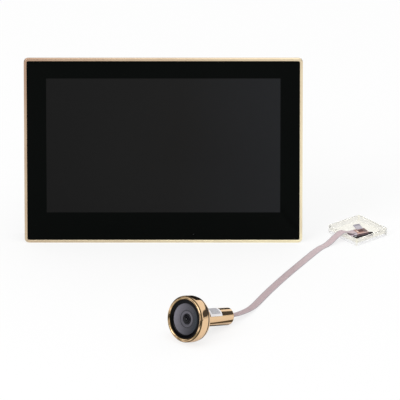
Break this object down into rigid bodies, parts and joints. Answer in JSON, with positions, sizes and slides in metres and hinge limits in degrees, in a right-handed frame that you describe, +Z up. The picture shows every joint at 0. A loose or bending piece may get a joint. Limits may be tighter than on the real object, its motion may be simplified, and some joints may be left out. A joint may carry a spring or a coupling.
{
  "type": "peephole door camera",
  "caption": "Door viewer set: flat wide-screen indoor monitor with a gold rim, and a round gold door camera with a slim barrel and a flat ribbon cable.",
  "frame": {"origin": "centre of the monitor's flat foot, on the surface that it stands on", "axes": "+Z up, the screen faces -Y, +X to the right as seen from the front"},
  "size_m": [0.2342, 0.1979, 0.1296],
  "materials": {
    "gold_rim": "satin champagne gold",
    "polished_gold": "polished champagne gold",
    "black_glass": "glossy black glass",
    "black_plastic": "fine matte",
    "black_gloss": "glossy",
    "grey_cone": "satin grey",
    "lens_glass": "coated glass",
    "clear_panel": "dark display",
    "white_plastic": "clear white",
    "adhesive": "soft black",
    "steel": "plain",
    "screw_steel": "dark zinc",
    "board_green": "solder mask",
    "chip_black": "moulded",
    "flex_amber": "polyimide film",
    "ribbon_grey": "lavender grey film",
    "battery_wrap": "foil wrap",
    "copper": "bare copper",
    "label_white": "blank paper",
    "milky_plastic": "translucent milky",
    "rubber_black": "soft"
  },
  "bodies": {
    "monitor": {"trim_frame": "gold_rim", "cover_glass": "black_glass", "glass_adhesive": "adhesive", "lcd_panel": "clear_panel", "light_guide": "white_plastic", "backlight_tray": "steel", "mid_frame": "black_plastic", "microphone": "steel", "status_led": "white_plastic", "lcd_flex": "flex_amber", "main_board": "board_green", "board_screws": "screw_steel", "board_chips": "chip_black", "shield_can": "steel", "camera_socket": "white_plastic", "power_switch": "chip_black", "card_socket": "steel", "usb_socket": "steel", "battery_pack": "battery_wrap", "wifi_antenna": "flex_amber", "speaker": "black_plastic", "back_cover": "black_plastic", "cover_screws": "screw_steel"},
    "power_button": {"power_button": "black_plastic"},
    "memory_card": {"memory_card": "chip_black"},
    "wall_bracket": {"wall_bracket": "steel"},
    "connector_tray": {"connector_tray": "milky_plastic"},
    "camera_unit": {"head_shell": "polished_gold", "head_gasket": "rubber_black", "rear_plate": "polished_gold", "black_ring": "black_gloss", "lens_cone": "grey_cone", "lens_retainer": "black_gloss", "front_lens": "lens_glass", "lens_housing": "black_plastic", "inner_lenses": "lens_glass", "image_sensor": "chip_black", "sensor_board": "board_green", "barrel_tube": "polished_gold", "barrel_label": "label_white", "cable_grommet": "rubber_black", "inner_ribbon": "ribbon_grey", "ribbon_cable": "ribbon_grey", "connector_board": "flex_amber", "contact_plate": "copper", "connector_block": "chip_black", "pull_tab": "ribbon_grey"}
  },
  "joints": [
    {"name": "power_press", "type": "slide", "parent": "monitor", "child": "power_button", "axis": [-1, 0, 0], "range_m": [0, 0.0005], "stiffness_N_per_m": 1200, "springref_m": -0.0006},
    {"name": "card_slide", "type": "slide", "parent": "monitor", "child": "memory_card", "axis": [1, 0, 0], "range_m": [0, 0.016]},
    {"name": "bracket_unhook", "type": "slide", "parent": "monitor", "child": "wall_bracket", "axis": [0, 0, -1], "range_m": [0, 0.0042]},
    {"name": "tray_lift", "type": "slide", "parent": "monitor", "child": "connector_tray", "axis": [0, 0, 1], "range_m": [0, 0.02]},
    {"name": "camera_lift", "type": "slide", "parent": "connector_tray", "child": "camera_unit", "axis": [0, 0, 1], "range_m": [0, 0.05]}
  ]
}
